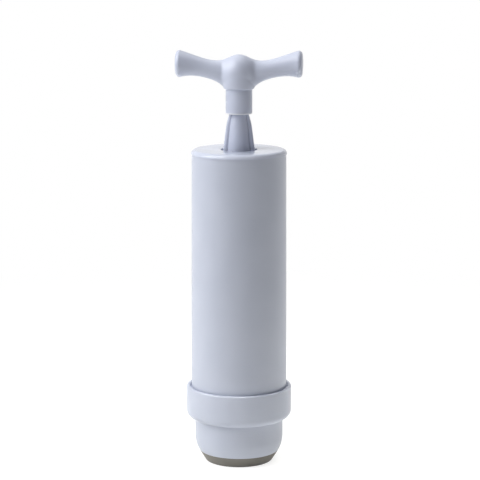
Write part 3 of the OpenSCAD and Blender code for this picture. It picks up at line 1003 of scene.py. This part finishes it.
def finish(name, deep, pale, gloss, cloud_size, grain_size, grain_depth, scratch=0.1, specular=0.5):
    paint = bpy.data.materials.new(name)
    paint.use_nodes = True
    tree = paint.node_tree
    shader = tree.nodes["Principled BSDF"]
    shader.inputs["Specular IOR Level"].default_value = specular
    cloud = use_group(tree, clouds, 1 / cloud_size)
    mask = use_group(tree, hairlines, HAIRLINE_SCALE)

    tone = tree.nodes.new("ShaderNodeMix")
    tone.data_type = "RGBA"
    tone.inputs["A"].default_value = (*deep, 1)
    tone.inputs["B"].default_value = (*pale, 1)
    tree.links.new(cloud, tone.inputs["Factor"])
    worn = tree.nodes.new("ShaderNodeMix")
    worn.data_type = "RGBA"
    lighter = [min(WORN_LIMIT, WORN_GAIN * channel + WORN_LIFT) for channel in pale]
    worn.inputs["B"].default_value = (*lighter, 1)
    tree.links.new(remap(tree, mask, 0, 1, 0, scratch), worn.inputs["Factor"])
    tree.links.new(tone.outputs["Result"], worn.inputs["A"])
    tree.links.new(worn.outputs["Result"], shader.inputs["Base Color"])

    clouded = remap(tree, cloud, 0, 1, gloss[0], gloss[1])
    dulled = remap(tree, mask, 0, 1, 0, SCRATCH_DULLS * scratch)
    tree.links.new(maths(tree, "ADD", clouded, dulled), shader.inputs["Roughness"])

    bump = tree.nodes.new("ShaderNodeBump")
    bump.inputs["Distance"].default_value = grain_depth
    tree.links.new(use_group(tree, grain, 1 / grain_size), bump.inputs["Height"])
    tree.links.new(bump.outputs["Normal"], shader.inputs["Normal"])
    return paint


# %% The finishes of plastic
shell_paint = finish(
    "shell_plastic", (0.475, 0.512, 0.612), (0.505, 0.54, 0.64), (0.30, 0.36),
    14 * MM, 0.7 * MM, 0.004 * MM,
)
# A painted brightness: the cap's plastic is the shell's made about a sixth lighter, for the light
# that falls on its top.
cap_paint = finish(
    "cap_plastic", (0.55, 0.59, 0.71), (0.58, 0.62, 0.74), (0.12, 0.18),
    11 * MM, 0.7 * MM, 0.004 * MM,
)
grip_paint = finish(
    "grip_plastic", (0.515, 0.555, 0.68), (0.545, 0.585, 0.71), (0.29, 0.35),
    9 * MM, 0.6 * MM, 0.005 * MM, scratch=0.14,
)
rod_paint = finish(
    "rod_plastic", (0.52, 0.56, 0.685), (0.545, 0.585, 0.71), (0.29, 0.35),
    6 * MM, 0.5 * MM, 0.005 * MM,
)
inner_paint = finish(
    "inner_plastic", (0.70, 0.70, 0.69), (0.76, 0.76, 0.75), (0.42, 0.52),
    8 * MM, 0.4 * MM, 0.006 * MM, scratch=0.08,
)

# %% The finishes of rubber
pad_paint = finish(
    "pad_rubber", (0.186, 0.178, 0.158), (0.214, 0.205, 0.184), (0.50, 0.62),
    5 * MM, 0.35 * MM, 0.012 * MM, specular=0.4,
)
seal_paint = finish(
    "seal_rubber", (0.012, 0.012, 0.013), (0.020, 0.020, 0.021), (0.30, 0.42),
    3 * MM, 0.3 * MM, 0.008 * MM, scratch=0.05,
)
valve_paint = finish(
    "valve_rubber", (0.52, 0.52, 0.49), (0.58, 0.58, 0.55), (0.30, 0.40),
    4 * MM, 0.4 * MM, 0.005 * MM, scratch=0.05,
)
silicone = valve_paint.node_tree.nodes["Principled BSDF"]
silicone.inputs["Subsurface Weight"].default_value = 0.2
silicone.inputs["Subsurface Scale"].default_value = 0.001
print("finishes:", sorted(paint.name for paint in bpy.data.materials))

# %% [markdown]
# Two painted marks have a place of their own. A painted shade darkens the creases between the rod's
# core and its fins, and a painted highlight makes the neck's lower edge pale. Both are masks worked
# out from Object coordinates: seen from the rod's axis a crease lies at one slope, and the edge is
# at one height. A painted mask would need a map of the surface, and these need none.

# %% Helpers for a mark


def along(tree, axis):
    """One of a surface point's Object coordinates."""
    place = tree.nodes.new("ShaderNodeTexCoord")
    split = tree.nodes.new("ShaderNodeSeparateXYZ")
    tree.links.new(place.outputs["Object"], split.inputs[0])
    return split.outputs[axis]


def tint(paint, mask, colour, amount):
    """Lays a colour over a finish where the mask is 1."""
    tree = paint.node_tree
    base = tree.nodes["Principled BSDF"].inputs["Base Color"]
    layer = tree.nodes.new("ShaderNodeMix")
    layer.data_type = "RGBA"
    layer.inputs["B"].default_value = (*colour, 1)
    tree.links.new(base.links[0].from_socket, layer.inputs["A"])
    tree.links.new(remap(tree, mask, 0, 1, 0, amount), layer.inputs["Factor"])
    tree.links.new(layer.outputs["Result"], base)


# %% Painted shade in the rod's creases
# A painted shade: the creases between the core and the fins are darkened in colour, where shade
# falls.
CREASE_SHADE_COLOUR = (0.26, 0.28, 0.36)
CREASE_SHADE_AMOUNT = 0.6
CREASE_SHADE_ON_FIN = (0.72, 0.98)
CREASE_SHADE_ON_CORE = (1.0, 1.1)
crease_slope = crease_y / crease_x
tree = rod_paint.node_tree
rise = maths(tree, "ABSOLUTE", along(tree, "Y"))
run = maths(tree, "ABSOLUTE", along(tree, "X"))
slope = maths(tree, "DIVIDE", rise, run)
on_fin = remap(tree, slope, *[share * crease_slope for share in CREASE_SHADE_ON_FIN], 0, 1)
on_core = remap(tree, slope, *[share * crease_slope for share in CREASE_SHADE_ON_CORE], 1, 0)
tint(rod_paint, maths(tree, "MULTIPLY", on_fin, on_core), CREASE_SHADE_COLOUR, CREASE_SHADE_AMOUNT)
print("creases at a slope of", round(crease_slope, 3))

# %% A painted highlight on the neck's lower edge
# A painted highlight: a pale band along the neck's lower edge stands in for the bright line of light
# on its rounded edge.
NECK_HIGHLIGHT_COLOUR = (0.86, 0.87, 0.90)
NECK_HIGHLIGHT_AMOUNT = 0.8
highlight_from = neck_z + 0.15 * MM
highlight_to = neck_z + 0.75 * MM
tree = grip_paint.node_tree
painted_highlight = remap(tree, along(tree, "Z"), highlight_from, highlight_to, 1, 0)
tint(grip_paint, painted_highlight, NECK_HIGHLIGHT_COLOUR, NECK_HIGHLIGHT_AMOUNT)
print("neck rubbed up to", round(highlight_to / MM, 1), "mm")

# %% Put each finish on its pieces


def dress(piece, paint):
    piece.data.materials.clear()
    piece.data.materials.append(paint)


for piece in (barrel, collar, nozzle):
    dress(piece, shell_paint)
dress(cap, cap_paint)
dress(handle, grip_paint)
dress(rod, rod_paint)
dress(pad, pad_paint)

node_paints = {
    "foot_pad": pad_paint, "nozzle": shell_paint, "collar": shell_paint, "valve_plate": shell_paint,
    "inlet_disc": valve_paint, "valve_guard": inner_paint, "base_gasket": seal_paint,
    "barrel": shell_paint, "top_cap": cap_paint, "piston": inner_paint, "piston_ring": seal_paint,
    "rod": rod_paint, "handle": grip_paint,
}
for name, paint in node_paints.items():
    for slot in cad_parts[name].material_slots:
        slot.material = paint
print(len(node_paints), "frame nodes dressed")
